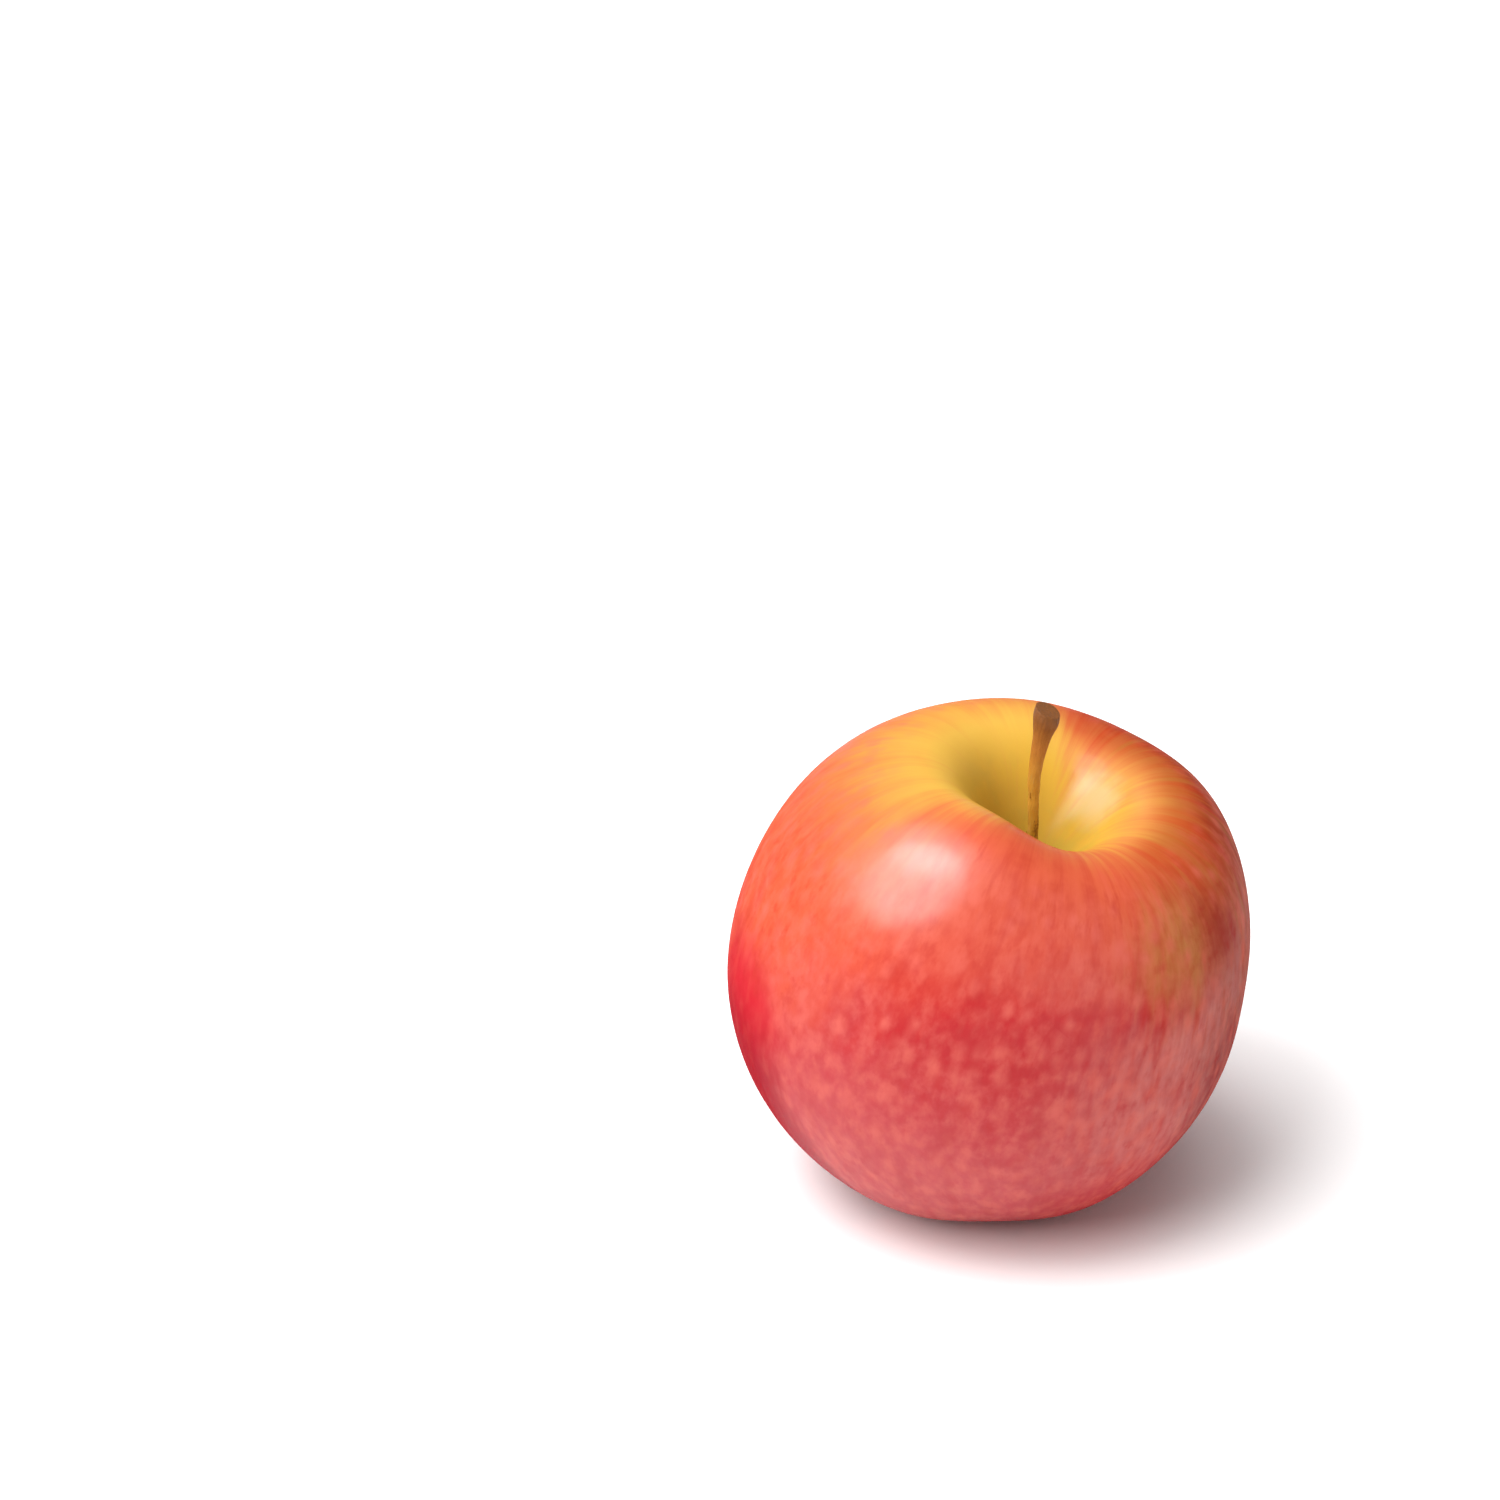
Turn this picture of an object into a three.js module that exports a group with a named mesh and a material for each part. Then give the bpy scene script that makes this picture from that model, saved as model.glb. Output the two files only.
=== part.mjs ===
// An apple as picked: the fruit with its stem hollow, basin and five feet, the woody stem planted in
// the hollow, and the dried calyx (five sepals round a tuft of stamens) under the eye of the basin.
// Millimetres, +Z up. The fruit stands on the ground, z = 0, with the middle of its box over the origin.

import * as THREE from 'three';

const DEGREE = THREE.MathUtils.DEG2RAD;

// Fruit
const FRUIT_WIDTH = 73.7;
const FRUIT_HEIGHT = 65.1;
const WAIST_HEIGHT = 33.3;
const SHOULDER_RING = 18.0;
const HOLLOW_DEPTH = 15.0;
const FOOT_RING = 12.5;
const BASIN_DEPTH = 8.7;
const EYE_RADIUS = 3.0;
const FOOT_FLAT = 0.3;

// Roundness of the profile: how far each curve's handles reach along the stretch that they shape
const HOLLOW_FLARE = 0.34;
const HOLLOW_STEEPNESS = 0.55;
const HOLLOW_LIP = 0.48;
const SHOULDER_REACH = 0.48;
const SHOULDER_FALL = 0.65;
const FLANK_FALL = 0.64;
const FLANK_REACH = 0.3;
const BASIN_LIP = 0.6;
const BASIN_FLARE = 0.2;
const BASIN_STEEPNESS = 0.6;

// Ribs, the arches between the feet and the knobs of the shoulders share five meridians
const RIB_COUNT = 5;
const RIB_ANGLE = 20;
const RIB_SWELL = 0.7;
const FOOT_ARCH = 0.9;
const KNOB_RISE = 0.25;

// Uneven growth: waves run round the fruit, and a swelling lifts one side of the shoulders
const SHOULDER_WAVES = [
  { count: 3, size: 0.4, angle: -120 },
  { count: 2, size: 0.5, angle: 15 },
];
const SHOULDER_SWELLINGS = [
  { size: 3.2, angle: -117, narrowness: 3 },
  { size: -0.8, angle: -48, narrowness: 4 },
  { size: 0.5, angle: 55, narrowness: 3 },
];
const FLANK_WAVES = [
  { count: 2, size: 0.5, angle: 20 },
  { count: 3, size: 0.35, angle: 70 },
];

// The hollow and its rim sit off the middle, and the head of the fruit leans over its waist
const HOLLOW_SHIFT_RIGHT = 1.7;
const HOLLOW_SHIFT_BACK = 0.9;
const LEAN_RIGHT = 11.0;
const LEAN_FRONT = 6.5;
const LEAN_FROM = 8.0;
const LEAN_TO = 52.0;

// Where each feature lies along the profile, by station: 0 the hollow's floor, 1 its rim, 2 the waist,
// 3 the foot ring and 4 the eye. A feature starts, is full, starts to fade and is gone.
const KNOBS = [0.05, 0.75, 1.0, 1.8];
const SHOULDERS = [0.2, 0.95, 1.0, 1.9];
const HOLLOW = [-1.0, 0.0, 1.0, 2.0];
const FLANKS = [0.9, 1.6, 2.4, 3.2];
const RIBS = [1.9, 3.0, 3.35, 4.0];
const FEET = [2.5, 3.0, 3.2, 4.0];

// Stem
const STEM_LENGTH = 28.6;
const STEM_FOOT_RADIUS = 1.25;
const STEM_NECK_RADIUS = 0.85;
const STEM_TOP_RADIUS = 2.1;
const STEM_BEND_LEFT = 2.4;
const STEM_BEND_BACK = 2.5;
const STEM_CUT_RISE = 0.5;
const STEM_BEND_FROM = 0.1;
const STEM_BEND_TO = 0.75;
const SOCKET_DEPTH = 2.5;
const SOCKET_LEDGE = 0.4;

// Calyx
const SEPAL_COUNT = 5;
const SEPAL_LENGTH = 5.2;
const SEPAL_THICKNESS = 0.5;
const SEPAL_SPLAY = 1.8;
const TUFT_LENGTH = 3.6;
const TUFT_FRILLS = 10;
const TUFT_FRILL_SIZE = 0.12;

// Pieces that touch keep this gap
const CLEARANCE = 0.3;

// Fineness
const FRUIT_SEGMENTS = 72;
const HOLLOW_STEPS = 10;
const SHOULDER_STEPS = 12;
const FLANK_STEPS = 14;
const BASIN_STEPS = 8;
const STEM_SEGMENTS = 20;
const STEM_STEPS = 16;
const SEPAL_STEPS = 8;
const TUFT_SEGMENTS = 20;

// Worked out from the sizes above
const halfWidth = FRUIT_WIDTH / 2;
const hollowFloor = FRUIT_HEIGHT - HOLLOW_DEPTH;
const socketRadius = STEM_FOOT_RADIUS + CLEARANCE;
const hollowFloorRadius = socketRadius + SOCKET_LEDGE;
const calyxRoot = BASIN_DEPTH - CLEARANCE;
const sepalOuter = (EYE_RADIUS - CLEARANCE) * Math.cos(Math.PI / SEPAL_COUNT);
const sepalInner = sepalOuter - SEPAL_THICKNESS;
const sepalRootWidth = 2 * (sepalInner * Math.tan(Math.PI / SEPAL_COUNT) - CLEARANCE);
const tuftRadius = sepalInner - CLEARANCE;

// Smooth step from 0 at low to 1 at high
function ramp(low, high, value) {
  return THREE.MathUtils.smoothstep(value, low, high);
}

function band([from, full, fading, gone], station) {
  return ramp(from, full, station) * (1 - ramp(fading, gone, station));
}

function wave({ count, size, angle }, turn) {
  return size * Math.cos(count * (turn - angle * DEGREE));
}

function swelling({ size, angle, narrowness }, turn) {
  return size * ((1 + Math.cos(turn - angle * DEGREE)) / 2) ** narrowness;
}

function sum(items, measure) {
  return items.reduce((total, item) => total + measure(item), 0);
}

// Tilts a point's height above the waist towards the leaning side, more the higher it is
function lean(point) {
  const axis = new THREE.Vector3(LEAN_FRONT, LEAN_RIGHT, 0);
  const angle = axis.length() * DEGREE * ramp(LEAN_FROM, LEAN_TO, point.z);
  point.z -= WAIST_HEIGHT;
  point.applyAxisAngle(axis.normalize(), angle);
  point.z += WAIST_HEIGHT;
  return point;
}

// Turns a profile, listed from its lower end on the axis to its upper one, and moves each point of the
// turned skin to place(profile point, turn)
function turned(profile, segments, place) {
  const outline = profile.map(({ radius, height }) => new THREE.Vector2(radius, height));
  const geometry = new THREE.LatheGeometry(outline, segments);
  const position = geometry.attributes.position;
  for (let index = 0; index < position.count; index += 1) {
    const column = Math.floor(index / profile.length) % segments;
    const point = place(profile[index % profile.length], (column / segments) * 2 * Math.PI);
    position.setXYZ(index, point.x, point.y, point.z);
  }
  geometry.computeVertexNormals();
  return geometry;
}

// Points of a curve in the profile's plane, with their stations; the first point is left out
function profileSpan(start, firstHandle, lastHandle, end, steps, station) {
  const corners = [start, firstHandle, lastHandle, end].map(([x, y]) => new THREE.Vector2(x, y));
  const curve = new THREE.CubicBezierCurve(...corners);
  return curve.getPoints(steps).slice(1).map((point, index) => ({
    radius: point.x,
    height: point.y,
    station: station + (index + 1) / steps,
  }));
}

function fruitProfile() {
  const socket = [
    { radius: 0, height: hollowFloor - SOCKET_DEPTH, station: 0 },
    { radius: socketRadius, height: hollowFloor - SOCKET_DEPTH, station: 0 },
    { radius: socketRadius, height: hollowFloor, station: 0 },
    { radius: hollowFloorRadius, height: hollowFloor, station: 0 },
  ];
  const hollowWidth = SHOULDER_RING - hollowFloorRadius;
  const hollow = profileSpan(
    [hollowFloorRadius, hollowFloor],
    [hollowFloorRadius + HOLLOW_FLARE * hollowWidth, hollowFloor + HOLLOW_STEEPNESS * HOLLOW_DEPTH],
    [SHOULDER_RING - HOLLOW_LIP * hollowWidth, FRUIT_HEIGHT],
    [SHOULDER_RING, FRUIT_HEIGHT],
    HOLLOW_STEPS,
    0,
  );
  const shoulder = profileSpan(
    [SHOULDER_RING, FRUIT_HEIGHT],
    [SHOULDER_RING + SHOULDER_REACH * (halfWidth - SHOULDER_RING), FRUIT_HEIGHT],
    [halfWidth, WAIST_HEIGHT + SHOULDER_FALL * (FRUIT_HEIGHT - WAIST_HEIGHT)],
    [halfWidth, WAIST_HEIGHT],
    SHOULDER_STEPS,
    1,
  );
  const flank = profileSpan(
    [halfWidth, WAIST_HEIGHT],
    [halfWidth, WAIST_HEIGHT - FLANK_FALL * (WAIST_HEIGHT + FOOT_FLAT)],
    [FOOT_RING + FLANK_REACH * (halfWidth - FOOT_RING), -FOOT_FLAT],
    [FOOT_RING, -FOOT_FLAT],
    FLANK_STEPS,
    2,
  );
  const basinWidth = FOOT_RING - EYE_RADIUS;
  const basin = profileSpan(
    [FOOT_RING, -FOOT_FLAT],
    [FOOT_RING - BASIN_LIP * basinWidth, -FOOT_FLAT],
    [EYE_RADIUS + BASIN_FLARE * basinWidth, BASIN_STEEPNESS * BASIN_DEPTH],
    [EYE_RADIUS, BASIN_DEPTH],
    BASIN_STEPS,
    3,
  );
  const eye = [{ radius: 0, height: BASIN_DEPTH, station: 4 }];
  return [...socket, ...hollow, ...shoulder, ...flank, ...basin, ...eye].reverse();
}

// The foot ring dips just below the ground, where the skin is pressed flat into five small feet
function fruitPoint({ radius, height, station }, turn) {
  const rib = Math.cos(RIB_COUNT * (turn - RIB_ANGLE * DEGREE));
  const reach = radius
    + band(RIBS, station) * RIB_SWELL * rib * (radius / halfWidth)
    + band(FLANKS, station) * sum(FLANK_WAVES, (item) => wave(item, turn));
  const level = height
    + band(FEET, station) * FOOT_ARCH * (1 - rib) / 2
    + band(KNOBS, station) * KNOB_RISE * rib
    + band(SHOULDERS, station) * sum(SHOULDER_WAVES, (item) => wave(item, turn))
    + band(SHOULDERS, station) * sum(SHOULDER_SWELLINGS, (item) => swelling(item, turn));
  const shift = band(HOLLOW, station);
  return lean(new THREE.Vector3(
    reach * Math.cos(turn) + shift * HOLLOW_SHIFT_RIGHT,
    reach * Math.sin(turn) + shift * HOLLOW_SHIFT_BACK,
    Math.max(level, 0),
  ));
}

function fruitGeometry() {
  return turned(fruitProfile(), FRUIT_SEGMENTS, fruitPoint);
}

// The stem keeps its foot's width through the socket, thins to a neck and flares to its cut end
function stemProfile() {
  const widths = new THREE.CatmullRomCurve3([
    new THREE.Vector3(STEM_FOOT_RADIUS, 0, SOCKET_DEPTH),
    new THREE.Vector3(STEM_NECK_RADIUS, 0, STEM_LENGTH * 0.35),
    new THREE.Vector3(STEM_NECK_RADIUS * 1.15, 0, STEM_LENGTH * 0.65),
    new THREE.Vector3(STEM_NECK_RADIUS * 1.5, 0, STEM_LENGTH * 0.83),
    new THREE.Vector3(STEM_TOP_RADIUS, 0, STEM_LENGTH * 0.96),
  ]);
  const shaft = widths.getPoints(STEM_STEPS).map((point) => ({ radius: point.x, height: point.z }));
  return [
    { radius: 0, height: 0 },
    { radius: STEM_FOOT_RADIUS, height: 0 },
    ...shaft,
    { radius: STEM_TOP_RADIUS * 0.9, height: STEM_LENGTH },
    { radius: 0, height: STEM_LENGTH },
  ];
}

// Above its socket the stem bends to the left and back, against the fruit's lean; its end is cut aslant
function stemPoint({ radius, height }, turn) {
  const free = Math.max(height - SOCKET_DEPTH, 0) / (STEM_LENGTH - SOCKET_DEPTH);
  const right = HOLLOW_SHIFT_RIGHT - STEM_BEND_LEFT * ramp(STEM_BEND_FROM, STEM_BEND_TO, free);
  const back = HOLLOW_SHIFT_BACK + STEM_BEND_BACK * free ** 2;
  const across = radius * Math.cos(turn);
  const level = height - STEM_CUT_RISE * free ** 4 * (across / STEM_TOP_RADIUS);
  const seat = hollowFloor - SOCKET_DEPTH + CLEARANCE;
  return lean(new THREE.Vector3(right + across, back + radius * Math.sin(turn), seat + level));
}

function stemGeometry() {
  return turned(stemProfile(), STEM_SEGMENTS, stemPoint);
}

// A pointed leaf, drawn flat from its root at y = 0 to its tip, then bent down and outwards
function sepalGeometry(turn) {
  const half = sepalRootWidth / 2;
  const leaf = new THREE.Shape();
  leaf.moveTo(-half, 0);
  leaf.lineTo(half, 0);
  leaf.quadraticCurveTo(half * 1.25, SEPAL_LENGTH * 0.5, half * 0.12, SEPAL_LENGTH);
  leaf.lineTo(-half * 0.12, SEPAL_LENGTH);
  leaf.quadraticCurveTo(-half * 1.25, SEPAL_LENGTH * 0.5, -half, 0);
  const options = { depth: SEPAL_THICKNESS, bevelEnabled: false, curveSegments: SEPAL_STEPS };
  const geometry = new THREE.ExtrudeGeometry(leaf, options);
  const hang = new THREE.QuadraticBezierCurve(
    new THREE.Vector2(sepalInner, calyxRoot),
    new THREE.Vector2(sepalInner, calyxRoot - SEPAL_LENGTH * 0.6),
    new THREE.Vector2(sepalInner + SEPAL_SPLAY, calyxRoot - SEPAL_LENGTH * 0.9),
  );
  const position = geometry.attributes.position;
  for (let index = 0; index < position.count; index += 1) {
    const share = position.getY(index) / SEPAL_LENGTH;
    const middle = hang.getPoint(share);
    const along = hang.getTangent(share);
    const out = middle.x - along.y * position.getZ(index);
    const level = middle.y + along.x * position.getZ(index);
    const point = new THREE.Vector3(out, -position.getX(index), level);
    point.applyAxisAngle(new THREE.Vector3(0, 0, 1), turn);
    position.setXYZ(index, point.x, point.y, point.z);
  }
  geometry.computeVertexNormals();
  return geometry;
}

// A withered brush that hangs from the eye and frays into frills at its lower end
function tuftGeometry() {
  const profile = [
    { radius: 0, height: -TUFT_LENGTH * 0.85 },
    { radius: tuftRadius * 0.5, height: -TUFT_LENGTH * 0.9 },
    { radius: tuftRadius * 0.85, height: -TUFT_LENGTH },
    { radius: tuftRadius * 0.8, height: -TUFT_LENGTH * 0.7 },
    { radius: tuftRadius * 0.6, height: -TUFT_LENGTH * 0.35 },
    { radius: tuftRadius * 0.7, height: 0 },
    { radius: 0, height: 0 },
  ];
  return turned(profile, TUFT_SEGMENTS, ({ radius, height }, turn) => {
    const frill = 1 + TUFT_FRILL_SIZE * Math.cos(TUFT_FRILLS * turn);
    return new THREE.Vector3(radius * frill * Math.cos(turn), radius * frill * Math.sin(turn), calyxRoot + height);
  });
}

function piece(name, geometry, color, roughness) {
  const material = new THREE.MeshStandardMaterial({ color, roughness, metalness: 0 });
  const mesh = new THREE.Mesh(geometry, material);
  mesh.name = name;
  return mesh;
}

const apple = new THREE.Group();
apple.add(piece('fruit', fruitGeometry(), 0xd9473a, 0.35));
apple.add(piece('stem', stemGeometry(), 0x8a5a2a, 0.8));
for (let number = 1; number <= SEPAL_COUNT; number += 1) {
  const turn = (number - 0.5) * (2 * Math.PI / SEPAL_COUNT) + RIB_ANGLE * DEGREE;
  apple.add(piece(`sepal_${number}`, sepalGeometry(turn), 0x5c4a30, 0.9));
}
apple.add(piece('stamen_tuft', tuftGeometry(), 0x3a2c1e, 0.95));

// The middle of the whole object's box goes over the origin
const box = new THREE.Box3().setFromObject(apple);
const middle = box.getCenter(new THREE.Vector3());
apple.position.set(-middle.x, -middle.y, 0);

export default apple;
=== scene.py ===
"""An apple on a white table: its waxy skin, woody stem and dried calyx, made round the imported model."""

import math
import random

import bmesh
import bpy
from mathutils import Matrix, Vector, noise


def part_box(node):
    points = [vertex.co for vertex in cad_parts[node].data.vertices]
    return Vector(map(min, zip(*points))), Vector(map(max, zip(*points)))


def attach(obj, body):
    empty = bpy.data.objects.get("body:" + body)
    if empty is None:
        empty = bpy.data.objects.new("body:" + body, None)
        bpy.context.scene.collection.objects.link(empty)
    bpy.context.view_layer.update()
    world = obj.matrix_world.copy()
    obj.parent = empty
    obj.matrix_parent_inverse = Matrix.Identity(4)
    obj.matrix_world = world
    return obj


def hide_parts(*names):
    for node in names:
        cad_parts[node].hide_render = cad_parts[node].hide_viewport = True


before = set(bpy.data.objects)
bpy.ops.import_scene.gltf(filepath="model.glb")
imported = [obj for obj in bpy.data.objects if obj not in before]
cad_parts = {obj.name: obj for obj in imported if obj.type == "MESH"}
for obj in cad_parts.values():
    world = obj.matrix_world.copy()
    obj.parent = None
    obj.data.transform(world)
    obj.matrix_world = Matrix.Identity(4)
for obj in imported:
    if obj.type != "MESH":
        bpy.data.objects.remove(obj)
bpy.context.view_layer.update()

MM = 0.001

# The fruit's head leans over its core, to the right and to the front, and its hollow leans with it
LEAN_RIGHT = math.radians(11.0)
LEAN_FRONT = math.radians(6.5)
LEAN = Matrix.Rotation(math.hypot(LEAN_RIGHT, LEAN_FRONT), 4, Vector((LEAN_FRONT, LEAN_RIGHT, 0)))
CORE = Vector((0, 0, 33 * MM))
RIB_COUNT = 5
RIB_ANGLE = math.radians(20)

# How much finer than the CAD solids the visible pieces are
SKIN_LEVELS = 2
STEM_LEVELS = 2

# The skin's own unevenness, all of it inwards from the CAD solid, and how close its waves are
SKIN_INSET = 0.12 * MM
SKIN_SWELLS = 0.16 * MM
SWELLS_PER_METRE = 70
SKIN_DIMPLES = 0.05 * MM
DIMPLES_PER_METRE = 260
BASIN_PUCKERS = 0.45 * MM

# The withered pieces below
SEPAL_COUNT = 5
SEPAL_WIDTH = 1.15 * MM
SEPAL_THICKNESS = 0.28 * MM
SEPAL_WRINKLES = 0.22 * MM
THREAD_COUNT = 22
THREAD_RING = 0.85 * MM
THREAD_RADIUS = 0.11 * MM
THREAD_TIP_RADIUS = 0.07 * MM
GOLDEN_ANGLE = 2.39996

# Round patches of the skin: the middle and the radius, in millimetres from the core along the lean
# A painted highlight: where the pale spot on the hollow's right wall lies
WALL_HIGHLIGHT_PATCH = (9.5, 5.5, 28.5), 6
OLIVE_PATCH = (22, -20, 25), 13
DARK_PATCH = (28, -15, 24), 9
# A painted highlight: where the pale patch that widens the softbox's highlight lies
KEY_HIGHLIGHT_PATCH = (-24, -20, 27), 10

# The camera looks down at the fruit with a long lens
CAMERA_PLACE = Vector((-0.0339, -0.7721, 0.4967))
CAMERA_LENS = 151.2
LOOK_DOWN = math.radians(29)


# ---------------------------------------------------------------- finishes

class Value:
    """A number or colour that varies over a surface. Operators on it add Math nodes."""

    def __init__(self, finish, socket):
        self.finish = finish
        self.socket = socket

    def math(self, operation, *inputs):
        return self.finish.node("ShaderNodeMath", {"operation": operation}, dict(enumerate(inputs)))

    def __add__(self, other):
        return self.math("ADD", self, other)

    def __radd__(self, other):
        return self.math("ADD", other, self)

    def __sub__(self, other):
        return self.math("SUBTRACT", self, other)

    def __rsub__(self, other):
        return self.math("SUBTRACT", other, self)

    def __mul__(self, other):
        return self.math("MULTIPLY", self, other)

    def __rmul__(self, other):
        return self.math("MULTIPLY", other, self)

    def __truediv__(self, other):
        return self.math("DIVIDE", self, other)

    def __pow__(self, other):
        return self.math("POWER", self, other)


class Finish:
    """A procedural material: constants on the shader's own sockets, and nodes for what varies."""

    def __init__(self, name, **constants):
        self.material = bpy.data.materials.new(name)
        self.material.use_nodes = True
        self.tree = self.material.node_tree
        self.shader = self.tree.nodes["Principled BSDF"]
        for socket, value in constants.items():
            self.shader.inputs[socket.replace("_", " ")].default_value = value

    def node(self, kind, settings=None, inputs=None, output=0):
        """Adds a node: its settings first, then the values or links of its sockets."""
        node = self.tree.nodes.new(kind)
        for name, value in (settings or {}).items():
            if name == "stops":
                set_stops(node.color_ramp, value)
            else:
                setattr(node, name, value)
        for socket, value in (inputs or {}).items():
            if isinstance(value, Value):
                self.tree.links.new(value.socket, node.inputs[socket])
            else:
                node.inputs[socket].default_value = value
        return Value(self, node.outputs[output])

    def feed(self, socket, value):
        self.tree.links.new(value.socket, self.shader.inputs[socket])

    def place(self, origin, turn=Matrix.Identity(4)):
        """Object coordinates measured from an origin, along turned axes, in millimetres."""
        here = self.node("ShaderNodeTexCoord", output="Object")
        settings = {"vector_type": "TEXTURE"}
        inputs = {"Vector": here, "Location": origin, "Rotation": turn.to_euler(), "Scale": (MM, MM, MM)}
        return self.node("ShaderNodeMapping", settings, inputs)

    def split(self, vector):
        parts = self.node("ShaderNodeSeparateXYZ", inputs={0: vector}).socket.node.outputs
        return [Value(self, part) for part in parts]

    def join(self, x, y, z):
        return self.node("ShaderNodeCombineXYZ", inputs={0: x, 1: y, 2: z})

    def ramp(self, value, low, high):
        """Smooth step from 0 at low to 1 at high."""
        inputs = {"Value": value, "From Min": low, "From Max": high}
        return self.node("ShaderNodeMapRange", {"interpolation_type": "SMOOTHSTEP"}, inputs)

    def band(self, value, rise_from, rise_to, fall_from, fall_to):
        """1 between two values, with a smooth rise before it and a smooth fall after it."""
        return self.ramp(value, rise_from, rise_to) * (1 - self.ramp(value, fall_from, fall_to))

    def stops(self, value, *stops):
        """The colour at that value, between stops that each hold a position and a colour."""
        return self.node("ShaderNodeValToRGB", {"stops": stops}, {0: value})

    def mix(self, share, first, second):
        """The first colour, with that share of the second laid over it."""
        inputs = {0: share, 6: first, 7: second}
        return self.node("ShaderNodeMix", {"data_type": "RGBA"}, inputs, output=2)

    def noise(self, vector, scale, detail=2.0, rough=0.5):
        """Cloudy noise about 0, within half of one either way."""
        inputs = {"Vector": vector, "Scale": scale, "Detail": detail, "Roughness": rough}
        return self.node("ShaderNodeTexNoise", inputs=inputs) - 0.5

    def bump(self, height, distance, strength=1.0):
        inputs = {"Strength": strength, "Distance": distance, "Height": height}
        self.feed("Normal", self.node("ShaderNodeBump", inputs=inputs))


def set_stops(color_ramp, stops):
    elements = color_ramp.elements
    while len(elements) < len(stops):
        elements.new(1.0)
    for element, (position, color) in zip(elements, stops):
        element.position = position
        element.color = (*color, 1.0)


def rgba(red, green, blue):
    return (red, green, blue, 1.0)


class Skin(Finish):
    """The fruit's skin: where each point of it lies, and the noises that its pattern is made of."""

    def __init__(self, name, **constants):
        super().__init__(name, **constants)
        self.where = self.place(CORE, LEAN)
        x, y, z = self.split(self.where)
        # The pattern's own axis bends from the stem's foot to the eye
        foot = LEAN.inverted() @ (STEM_FOOT - CORE) / MM
        eye = LEAN.inverted() @ (EYE - CORE) / MM
        above, below = self.ramp(z, 4, 30), self.ramp(z, -4, -30)
        self.x = x - above * foot.x - below * eye.x
        self.y = y - above * foot.y - below * eye.y
        self.z = z
        self.off_axis = (self.x * self.x + self.y * self.y + 0.01) ** 0.5
        turn = self.node("ShaderNodeMath", {"operation": "ARCTAN2"}, {0: self.off_axis, 1: z})
        self.polar = turn * math.degrees(1)
        # Streaks run along the meridians and flecks are short ones. Blotches and mottling have no direction
        self.streaks = self.noise(self.meridians(0.008), 9.0, detail=4.0, rough=0.6)
        self.fine_streaks = self.noise(self.meridians(0.008), 21.0, detail=2.0, rough=0.5)
        self.flecks = self.noise(self.meridians(0.02), 19.0, detail=3.0, rough=0.55)
        self.blotches = self.noise(self.where, 0.055, detail=3.0, rough=0.55)
        self.mottle = self.noise(self.where, 0.4, detail=3.0, rough=0.5)

    def meridians(self, shortness):
        """Coordinates in which a noise is drawn out along the meridians."""
        return self.join(self.x / self.off_axis, self.y / self.off_axis, self.z * shortness)

    def facing(self, angle):
        """1 on the meridian at that angle, -1 on the one opposite."""
        angle = math.radians(angle)
        return (self.x * math.cos(angle) + self.y * math.sin(angle)) / self.off_axis

    def patch(self, middle, radius):
        """1 in the middle of a round patch, 0 at its edge and below 0 outside it."""
        settings, inputs = {"operation": "DISTANCE"}, {0: self.where, 1: middle}
        return 1 - self.node("ShaderNodeVectorMath", settings, inputs, output="Value") / radius


def skin_finish():
    """Red over yellow, glossy where the wax is thick."""
    skin = Skin("waxy_skin", Specular_IOR_Level=0.0, Coat_Roughness=0.22, Coat_IOR=1.65)
    reach = red_reach(skin)
    crimson = crimson_share(skin)
    dark = skin.ramp(skin.patch(*DARK_PATCH) + skin.fine_streaks + skin.mottle * 1.2, 0.0, 1.0)
    spots = lenticels(skin)
    color = skin.mix(skin.ramp(reach, -12, 3), ground_color(skin), blush_color(skin, reach))
    color = table_reflection_over(skin, color, crimson)
    color = hollow_over(skin, color)
    color = painted_shoulder_shade_over(skin, color)
    color = flank_reflection_over(skin, color)
    color = skin.mix(dark * 0.8, color, rgba(0.27, 0.014, 0.008))
    plain = skin.band(skin.polar, 27, 44, 140, 165) * (1 - dark) * (1 - crimson * 0.85)
    color = skin.mix(spots * plain * 0.42, color, rgba(0.62, 0.12, 0.09))
    color = flecks_over(skin, color, plain, skin.ramp(reach, -4, 14))
    # Painted highlight: a pale patch beside the softbox's reflection makes it look wider
    painted_key_highlight = skin.ramp(skin.patch(*KEY_HIGHLIGHT_PATCH), 0.0, 0.9)
    color = skin.mix(painted_key_highlight * 0.2, color, rgba(0.70, 0.36, 0.25))
    skin.feed("Base Color", color)
    skin.feed("Roughness", 0.5 + skin.mottle * 0.1)
    skin.feed("Coat Weight", gloss(skin))
    skin.bump(skin.mottle + spots * 0.3, 0.1 * MM, strength=0.3)
    return skin.material


def ground_color(skin):
    """Ochre at the stem, yellow up the hollow, apricot over the shoulders."""
    return skin.stops(
        skin.polar / 180 + skin.blotches * 0.05,
        (0.00, (0.26, 0.16, 0.02)),
        (0.05, (0.46, 0.28, 0.034)),
        (0.10, (0.59, 0.34, 0.04)),
        (0.15, (0.62, 0.36, 0.06)),
        (0.25, (0.55, 0.20, 0.045)),
        (1.00, (0.50, 0.18, 0.05)),
    )


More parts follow.
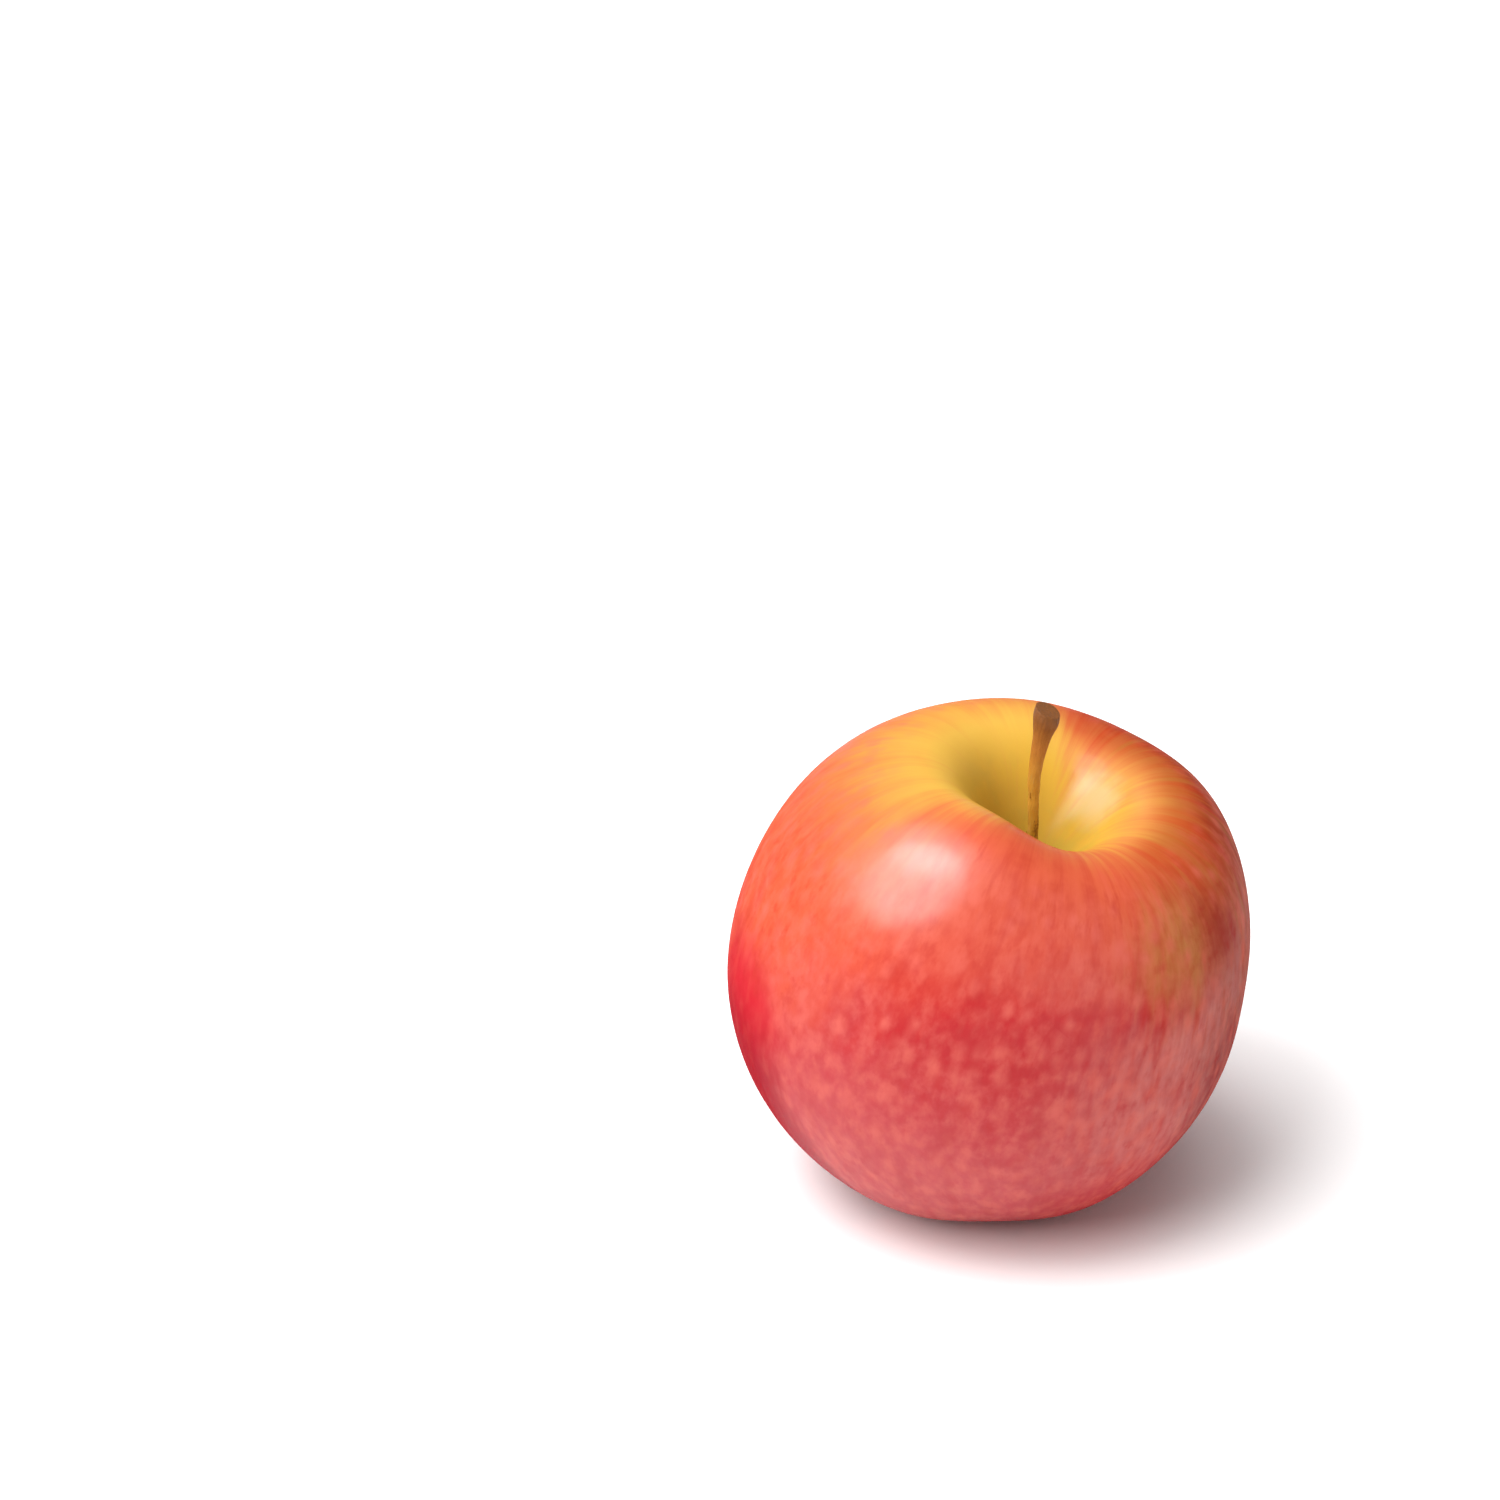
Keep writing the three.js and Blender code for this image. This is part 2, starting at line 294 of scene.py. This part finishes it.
def red_reach(skin):
    """How far a point lies past the edge of the red, in degrees or so. The red starts at the hollow's rim
    on the near side and on the right, and far down the left shoulder. It is deepest low at the front."""
    leftness = skin.ramp(skin.facing(155), -0.18, 0.95)
    start = 22 + leftness * 26 + skin.ramp(skin.facing(-5), 0.2, 0.9) * 5
    ragged = skin.streaks * 12 + skin.blotches * 16 + skin.fine_streaks * 5
    deepest = skin.ramp(skin.facing(-72), 0.75, 1.0) * skin.ramp(skin.polar, 55, 66)
    return (skin.polar - start) / (1 + leftness * 0.9) + ragged + deepest * 8


def blush_color(skin, reach):
    """Orange at the red's edge, then coral, then deep red."""
    return skin.stops(
        (reach + 10) / 60,
        (0.00, (0.56, 0.20, 0.045)),
        (0.14, (0.55, 0.14, 0.045)),
        (0.28, (0.54, 0.090, 0.038)),
        (0.62, (0.53, 0.066, 0.036)),
        (0.90, (0.42, 0.010, 0.012)),
        (1.00, (0.40, 0.012, 0.016)),
    )


def crimson_share(skin):
    """Crimson low on the left: partly the fruit's own colour, partly painted shade that widens and deepens
    it lower down.
    """
    wander = skin.blotches * 0.08 + skin.streaks * 0.06
    # The crimson spreads further round lower down: painted shade
    sunny = skin.ramp(skin.facing(-160) + (skin.polar - 95) * 0.0015 + wander, 0.92, 0.99)
    return sunny * skin.ramp(skin.polar + skin.blotches * 14 + skin.flecks * 8, 76, 92)


def table_reflection_over(skin, color, crimson):
    """Paler pink over the lower half, a painted reflection of the white table, and the crimson over it."""
    patchy = skin.mottle * 22 + skin.streaks * 14 + skin.flecks * 16 + skin.blotches * 24
    left_front = skin.ramp(skin.facing(-125), 0.7, 1.0)
    # Painted reflection: the white table's pale pink sheen over the lower half
    painted_table_reflection = skin.ramp(skin.polar + patchy + left_front * 10, 74, 108)
    color = skin.mix(painted_table_reflection * (skin.facing(-100) * 0.2 + 0.7), color, rgba(0.44, 0.052, 0.058))
    # Darker crimson towards the bottom: painted shade
    deep = skin.mix(skin.ramp(skin.polar, 88, 108), rgba(0.47, 0.014, 0.024), rgba(0.30, 0.003, 0.014))
    return skin.mix(crimson * 0.97, color, deep)


def hollow_over(skin, color):
    """Greenish in the depth of the hollow, tan over its right lip, with a painted highlight as a pale spot
    on its right wall.
    """
    lip = skin.ramp(skin.polar + skin.streaks * 8, 18, 25) * (1 - skin.ramp(skin.polar, 28, 36))
    greenish = skin.ramp(skin.blotches + skin.mottle * 0.6, -0.15, 0.2)
    # Painted highlight: a pale spot on the right wall of the hollow
    painted_wall_highlight = skin.ramp(skin.patch(*WALL_HIGHLIGHT_PATCH) + skin.mottle * 0.4, 0.0, 0.9)
    color = skin.mix(skin.ramp(skin.facing(10), 0.5, 0.95) * lip * 0.5, color, rgba(0.50, 0.20, 0.05))
    color = skin.mix(greenish * (1 - skin.ramp(skin.polar, 16, 24)) * 0.5, color, rgba(0.42, 0.31, 0.05))
    return skin.mix(painted_wall_highlight * 0.6, color, rgba(0.64, 0.50, 0.28))


def painted_shoulder_shade_over(skin, color):
    """The right shoulder is dull, with painted shade that darkens it and more so behind; it is streaked,
    and olive in one patch.
    """
    shoulder_shade = skin.ramp(skin.facing(15), 0.15, 0.85) * skin.band(skin.polar, 23, 31, 70, 95)
    behind = skin.ramp(skin.facing(30), 0.6, 0.95) * (1 - skin.ramp(skin.polar, 50, 85))
    behind = behind * skin.ramp(skin.polar + skin.streaks * 8, 31, 38)
    red_streaks = skin.ramp(skin.streaks + skin.fine_streaks, -0.1, 0.3)
    olive_streaks = skin.ramp(skin.fine_streaks - skin.streaks, 0.0, 0.35)
    olive = skin.ramp(skin.patch(*OLIVE_PATCH) + skin.fine_streaks * 0.8 + skin.blotches, 0.0, 1.0)
    # Painted shade: the right shoulder darker, and darker still behind
    color = skin.mix(shoulder_shade * 0.5, color, rgba(0.26, 0.065, 0.006))
    color = skin.mix(behind * 0.68, color, rgba(0.24, 0.020, 0.006))
    color = skin.mix(red_streaks * shoulder_shade * 0.5, color, rgba(0.46, 0.045, 0.006))
    color = skin.mix(olive_streaks * shoulder_shade * 0.5, color, rgba(0.30, 0.13, 0.015))
    return skin.mix(olive * 0.7, color, rgba(0.42, 0.20, 0.055))


def flank_reflection_over(skin, color):
    """A greyish pink painted reflection of the white table down the right flank, dimmer towards the far
    side, with painted shade darkest low on it.
    """
    far = skin.ramp(skin.facing(-5), 0.75, 0.97)
    flank = skin.ramp(skin.facing(-30), 0.55, 1.0) * (1 - skin.ramp(skin.polar, 92, 122))
    flank = flank * skin.ramp(skin.polar + far * 12 + skin.streaks * 10, 54, 76)
    streaky = skin.ramp(skin.fine_streaks + skin.streaks, -0.7, 0.5)
    painted_flank_reflection = skin.mix(far, rgba(0.56, 0.21, 0.19), rgba(0.37, 0.17, 0.155))
    # Painted reflection of the white table on the right flank
    color = skin.mix(flank * streaky * 0.95, color, painted_flank_reflection)
    # Painted shade low on the far side of the flank
    return skin.mix(far * skin.band(skin.polar, 66, 90, 120, 150) * 0.6, color, rgba(0.14, 0.03, 0.03))


def lenticels(skin):
    """Soft round pores of uneven size, a little drawn out along the core."""
    cells = {"Vector": skin.join(skin.x, skin.y, skin.z * 0.62), "Scale": 0.34, "Randomness": 0.9}
    pores = skin.node("ShaderNodeTexVoronoi", inputs=cells)
    luck = skin.split(skin.node("ShaderNodeTexVoronoi", inputs=cells, output="Color"))[0]
    return 1 - skin.ramp(pores / (luck * 0.22 + 0.36), 0.0, 1.2)


def flecks_over(skin, color, plain, red):
    """Flecks and streaks: pale ones over the plain skin, dark ones over the red."""
    pale_flecks = skin.ramp(skin.flecks + skin.mottle * 0.4, -0.16, 0.34)
    pale_streaks = skin.ramp(skin.fine_streaks, 0.0, 0.4)
    dark_flecks = skin.ramp(skin.mottle * 0.5 - skin.flecks, 0.0, 0.35)
    dark_streaks = skin.ramp(skin.streaks - skin.mottle * 0.6, -0.1, 0.4)
    color = skin.mix(pale_flecks * plain * 0.4, color, rgba(0.64, 0.13, 0.09))
    color = skin.mix(pale_streaks * 0.16, color, rgba(0.62, 0.12, 0.075))
    color = skin.mix(dark_flecks * red * 0.4, color, rgba(0.36, 0.010, 0.012))
    return skin.mix(dark_streaks * red * 0.42, color, rgba(0.33, 0.006, 0.008))


def gloss(skin):
    """The coat of wax: thick on the front, thinner behind, thinnest on the flanks and in the hollow."""
    below = skin.ramp(skin.polar, 50, 66) * (1 - skin.ramp(skin.polar, 88, 112) * 0.25)
    inside = 1 - skin.ramp(skin.polar, 22, 27)
    rim = (1 - inside) * (1 - skin.ramp(skin.polar, 31, 41))
    front = 0.08 + skin.ramp(skin.facing(-105), 0.62, 0.96) * 0.92
    front = front * (1 - below * 0.7) * (1 - rim * 0.85) * (1 - inside)
    wall = inside * (0.06 + skin.ramp(skin.facing(25), 0.3, 0.95) * 0.3)
    behind = skin.ramp(skin.facing(90), 0.2, 0.7) * skin.ramp(skin.polar, 40, 58)
    return front + wall + behind * (1 - skin.ramp(skin.polar, 100, 130) * 0.5) * 0.4


def wood_finish():
    """Golden brown below and dark at the cut end, with weathered streaks and painted shade that darkens its
    right side.
    """
    wood = Finish("stem_wood", Specular_IOR_Level=0.3)
    where = wood.place(STEM_FOOT, LEAN)
    x, y, z = wood.split(where)
    grain = wood.noise(wood.join(x * 1.6, y * 1.6, z * 0.2), 1.3, detail=4.0, rough=0.6)
    flecks = wood.noise(where, 2.2, detail=3.0, rough=0.6)
    color = wood.stops(
        z / STEM_LENGTH_MM + grain * 0.14,
        (0.00, (0.20, 0.12, 0.015)),
        (0.20, (0.44, 0.24, 0.025)),
        (0.55, (0.62, 0.30, 0.035)),
        (0.78, (0.42, 0.15, 0.020)),
        (0.92, (0.22, 0.070, 0.010)),
        (1.00, (0.14, 0.045, 0.008)),
    )
    sunny = wood.ramp(grain + flecks * 0.4, 0.0, 0.3) * (1 - wood.ramp(z, 17, 23))
    # Weathered streaks, and painted shade: darker towards the stem's right side, away from the lamps
    weathering_and_shade = wood.ramp(flecks * 0.6 - grain + x * 0.16, -0.1, 0.22)
    color = wood.mix(sunny * 0.4, color, rgba(0.60, 0.42, 0.11))
    color = wood.mix(weathering_and_shade * 0.8, color, rgba(0.10, 0.032, 0.006))
    wood.feed("Base Color", color)
    wood.feed("Roughness", 0.62 + flecks * 0.3)
    wood.bump(grain + flecks * 0.5, 0.25 * MM, strength=0.7)
    return wood.material


def calyx_finish():
    """Dry brown leaf with a pale fuzz."""
    calyx = Finish("dried_calyx", Specular_IOR_Level=0.2, Sheen_Weight=0.3, Sheen_Roughness=0.6)
    where = calyx.place(EYE)
    veins = calyx.noise(where, 1.1, detail=4.0, rough=0.65)
    fuzz = calyx.noise(where, 5.0, detail=3.0, rough=0.7)
    color = calyx.mix(calyx.ramp(veins, -0.2, 0.25), rgba(0.10, 0.06, 0.03), rgba(0.27, 0.19, 0.10))
    color = calyx.mix(calyx.ramp(fuzz, 0.05, 0.3) * 0.6, color, rgba(0.42, 0.34, 0.22))
    calyx.feed("Base Color", color)
    calyx.feed("Roughness", 0.85 + veins * 0.2)
    calyx.bump(veins + fuzz, 0.2 * MM, strength=0.8)
    return calyx.material


def thread_finish():
    """Nearly black dry threads."""
    thread = Finish("dried_stamens", Specular_IOR_Level=0.2)
    where = thread.place(EYE)
    flecks = thread.noise(where, 2.4, detail=3.0, rough=0.6)
    color = thread.mix(thread.ramp(flecks, -0.2, 0.25), rgba(0.035, 0.02, 0.012), rgba(0.16, 0.10, 0.05))
    thread.feed("Base Color", color)
    thread.feed("Roughness", 0.8 + flecks * 0.2)
    thread.bump(flecks, 0.1 * MM, strength=0.6)
    return thread.material


# ---------------------------------------------------------------- shapes

def smooth_step(low, high, value):
    share = min(max((value - low) / (high - low), 0.0), 1.0)
    return share * share * (3 - 2 * share)


def finer_copy(name, node, levels, crease=0.0):
    """A new piece in a CAD solid's place: its triangles made quads again and rounded by subdivision.
    Edges that turn sharply keep that much of their crease."""
    shape = bmesh.new()
    shape.from_mesh(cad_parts[node].data)
    bmesh.ops.remove_doubles(shape, verts=shape.verts, dist=0.002 * MM)
    bmesh.ops.join_triangles(shape, faces=shape.faces, cmp_seam=False, cmp_sharp=False, cmp_uvs=False,
                             cmp_vcols=False, cmp_materials=False, angle_face_threshold=math.radians(60),
                             angle_shape_threshold=math.radians(75))
    bmesh.ops.recalc_face_normals(shape, faces=shape.faces)
    creases = shape.edges.layers.float.new("crease_edge")
    for edge in shape.edges:
        if edge.calc_face_angle(0.0) > math.radians(40):
            edge[creases] = crease
    piece = piece_from(name, shape)
    rounding = piece.modifiers.new("rounding", "SUBSURF")
    rounding.levels = rounding.render_levels = levels
    settled = piece.evaluated_get(bpy.context.evaluated_depsgraph_get())
    fine = bpy.data.meshes.new_from_object(settled)
    piece.modifiers.clear()
    piece.data = fine
    return piece


def piece_from(name, shape):
    """A piece that holds a bmesh, with smooth shading."""
    mesh = bpy.data.meshes.new(name)
    shape.to_mesh(mesh)
    shape.free()
    mesh.shade_smooth()
    piece = bpy.data.objects.new(name, mesh)
    bpy.context.scene.collection.objects.link(piece)
    bpy.context.view_layer.update()
    return piece


def dress(piece, material, slot, *nodes):
    """Gives a piece its material and puts it in its CAD nodes' place. The slot is not used."""
    piece.data.materials.clear()
    piece.data.materials.append(material)
    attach(piece, "root")
    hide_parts(*nodes)
    return piece


def level_centre(node, low, high):
    """The middle of a CAD node's corners between two shares of its height."""
    bottom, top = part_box(node)
    reach = top[2] - bottom[2]
    corners = [corner.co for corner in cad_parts[node].data.vertices
               if low <= (corner.co.z - bottom[2]) / reach <= high]
    return sum(corners, Vector()) / len(corners)


# The stem's foot on the floor of its socket, and the eye that the calyx hangs from
STEM_FOOT = level_centre("stem", 0.0, 0.04)
STEM_LENGTH_MM = (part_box("stem")[1][2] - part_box("stem")[0][2]) / MM
EYE = level_centre("stamen_tuft", 0.97, 1.0)


def basin_fold(place):
    """How deeply the skin of the basin is puckered at a place, from 0 to 1."""
    from_eye = place - EYE
    turn = math.atan2(from_eye.y, from_eye.x)
    round_eye = Vector((from_eye.x, from_eye.y)).length / MM
    folded = smooth_step(2.5, 4.5, round_eye) * (1 - smooth_step(5.0, 11.0, round_eye))
    folded *= 1 - smooth_step(8 * MM, 14 * MM, place.z)
    folds = 0.6 * math.cos(RIB_COUNT * (turn - RIB_ANGLE)) + 0.4 * math.cos(11 * turn + 1.0)
    return folded * (folds + 1) / 2


def make_fruit():
    """The fruit with its slight swells and dimples. Its feet stay flat on the table."""
    fruit = finer_copy("apple_skin", "fruit", SKIN_LEVELS)
    moved = []
    for corner in fruit.data.vertices:
        place, outwards = corner.co, corner.normal
        swells = noise.noise(place * SWELLS_PER_METRE)
        dimples = noise.noise(place * DIMPLES_PER_METRE)
        step = SKIN_SWELLS * (swells - 1) / 2 + SKIN_DIMPLES * (dimples - 1) / 2 - SKIN_INSET
        step *= smooth_step(0.5 * MM, 9 * MM, place.z)
        step -= BASIN_PUCKERS * basin_fold(place)
        moved.append(place + outwards * step)
    for corner, place in zip(fruit.data.vertices, moved):
        corner.co = (place.x, place.y, max(place.z, 0.0))
    fruit.data.update()
    return dress(fruit, skin_finish(), "fruit_skin", "fruit")


def make_stem():
    """The stem with its ridges and knots, and a collar that fills the socket round its foot."""
    stem = finer_copy("woody_stem", "stem", STEM_LEVELS, crease=1.0)
    to_stem = LEAN.inverted()
    for corner in stem.data.vertices:
        place = to_stem @ (corner.co - STEM_FOOT)
        height = place.z / MM
        collar = 1.0 * (1 - smooth_step(1.6, 6.0, height)) * smooth_step(0.0, 1.2, height)
        ridges = noise.noise(Vector((place.x * 900, place.y * 900, place.z * 130)))
        knots = noise.noise(place * 420)
        rough = smooth_step(1.5, 4.0, height) * (1 - 0.8 * smooth_step(24, 27, height))
        step = collar + rough * (0.14 * ridges + 0.18 * knots) - 0.06
        corner.co += corner.normal * step * MM
    stem.data.update()
    return dress(stem, wood_finish(), "stem_wood", "stem")


def make_sepal(number, material):
    """A withered leaf: a grid drawn as a pointed blade, cupped, curled outwards and given its thickness."""
    node = f"sepal_{number}"
    low, high = (Vector(corner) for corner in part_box(node))
    root = level_centre(node, 0.97, 1.0)
    out = Vector((root.x - EYE.x, root.y - EYE.y, 0)).normalized()
    across = Vector((-out.y, out.x, 0))
    length = high.z - low.z
    luck = random.Random(number)
    curl, twist, cup = luck.uniform(0.9, 1.3), luck.uniform(-0.35, 0.35), luck.uniform(0.25, 0.45)
    shape = bmesh.new()
    bmesh.ops.create_grid(shape, x_segments=8, y_segments=16, size=0.5)
    for corner in shape.verts:
        side, share = corner.co.x * 2, corner.co.y + 0.5
        width = SEPAL_WIDTH * (1 - share) ** 0.7 * (1 + 0.9 * share)
        angle = curl * share ** 2
        sink = length * share * (1 - 0.12 * angle)
        reach = length * 0.42 * share ** 2 * curl + cup * MM * side * side * (1 - share)
        lateral = side * width + twist * MM * share * share
        wrinkle = SEPAL_WRINKLES * noise.noise(Vector((side * 1.6, share * 5, number)))
        corner.co = root + across * lateral + out * (reach + wrinkle) + Vector((0, 0, -sink))
    bmesh.ops.recalc_face_normals(shape, faces=shape.faces)
    sepal = piece_from(f"withered_sepal_{number}", shape)
    body = sepal.modifiers.new("body", "SOLIDIFY")
    body.thickness = SEPAL_THICKNESS
    body.offset = 0.0
    soft = sepal.modifiers.new("soft", "SUBSURF")
    soft.levels = soft.render_levels = 1
    return dress(sepal, material, "dried_calyx", node)


def make_thread(length, spread, ring, turn, bend):
    """One withered thread: a thin cone cut into rings, bent outwards, with a knob at its end."""
    shape = bmesh.new()
    bmesh.ops.create_cone(shape, cap_ends=True, segments=6, radius1=THREAD_RADIUS,
                          radius2=THREAD_TIP_RADIUS, depth=length)
    upright = [edge for edge in shape.edges if abs(edge.verts[0].co.z - edge.verts[1].co.z) > length / 2]
    bmesh.ops.subdivide_edges(shape, edges=upright, cuts=5)
    for corner in shape.verts:
        down = 0.5 - corner.co.z / length
        away = ring + spread * down * down + 0.12 * MM * math.sin(5 * down + bend)
        knob = 1 + 1.3 * smooth_step(0.78, 0.95, down)
        corner.co = EYE + Vector((
            away * math.cos(turn) + corner.co.x * knob,
            away * math.sin(turn) + corner.co.y * knob,
            -length * down,
        ))
    return shape


def make_tuft():
    """A brush of withered threads."""
    low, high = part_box("stamen_tuft")
    length = high[2] - low[2]
    luck = random.Random(11)
    brush = bmesh.new()
    carrier = bpy.data.meshes.new("thread")
    for number in range(THREAD_COUNT):
        ring = THREAD_RING * math.sqrt((number + 0.5) / THREAD_COUNT)
        reach = length * luck.uniform(0.7, 1.0)
        spread = luck.uniform(0.15, 0.5) * MM
        thread = make_thread(reach, spread, ring, number * GOLDEN_ANGLE, number)
        thread.to_mesh(carrier)
        thread.free()
        brush.from_mesh(carrier)
    return dress(piece_from("withered_stamens", brush), thread_finish(), "dried_stamens", "stamen_tuft")


# ---------------------------------------------------------------- studio

def make_camera():
    data = bpy.data.cameras.new("camera")
    data.lens = CAMERA_LENS
    data.sensor_width = 36.0
    data.clip_start = 0.01
    data.clip_end = 50.0
    camera = bpy.data.objects.new("camera", data)
    camera.location = CAMERA_PLACE
    camera.rotation_euler = (math.radians(90) - LOOK_DOWN, 0, 0)
    bpy.context.scene.collection.objects.link(camera)
    bpy.context.scene.camera = camera


def make_floor():
    """A plain white table, a hair below the feet."""
    shape = bmesh.new()
    bmesh.ops.create_grid(shape, x_segments=1, y_segments=1, size=6.0)
    floor = piece_from("table", shape)
    floor.data.transform(Matrix.Translation((0, 0, -0.02 * MM)))
    paper = Finish("white_paper", Base_Color=rgba(0.95, 0.95, 0.95), Roughness=0.9, Specular_IOR_Level=0.1)
    floor.data.materials.append(paper.material)


def make_softbox(name, direction, distance, size, power):
    """A round light that faces the fruit from that direction."""
    data = bpy.data.lights.new(name, "AREA")
    data.shape = "DISK"
    data.size = size
    data.energy = power
    light = bpy.data.objects.new(name, data)
    towards = Vector(direction).normalized()
    light.location = CORE + towards * distance
    light.rotation_euler = towards.to_track_quat("Z", "Y").to_euler()
    bpy.context.scene.collection.objects.link(light)


def make_room():
    """Bright overhead and a little to the left, as a tent of white cloth is, and dim towards the ground."""
    world = bpy.data.worlds.new("room")
    world.use_nodes = True
    nodes, links = world.node_tree.nodes, world.node_tree.links
    direction = nodes.new("ShaderNodeTexCoord")
    overhead = nodes.new("ShaderNodeVectorMath")
    overhead.operation = "DOT_PRODUCT"
    overhead.inputs[1].default_value = Vector((-0.2, 0.0, 1.0)).normalized()
    shade = nodes.new("ShaderNodeValToRGB")
    greys = ((0.0, 0.30), (0.3, 0.12), (0.74, 0.08), (0.97, 0.75))
    set_stops(shade.color_ramp, [(position, (grey, grey, grey)) for position, grey in greys])
    links.new(direction.outputs["Generated"], overhead.inputs[0])
    links.new(overhead.outputs["Value"], shade.inputs[0])
    links.new(shade.outputs[0], nodes["Background"].inputs["Color"])
    nodes["Background"].inputs["Strength"].default_value = 2.7
    bpy.context.scene.world = world
    bpy.context.scene.view_settings.view_transform = "Standard"


make_camera()
make_room()
make_floor()
make_softbox("softbox", (-0.59, -0.37, 0.715), distance=2.0, size=1.85, power=35)
make_softbox("skylight", (-0.36, -0.05, 0.93), distance=2.0, size=1.7, power=25)
make_fruit()
make_stem()
calyx_material = calyx_finish()
for sepal_number in range(1, SEPAL_COUNT + 1):
    make_sepal(sepal_number, calyx_material)
make_tuft()
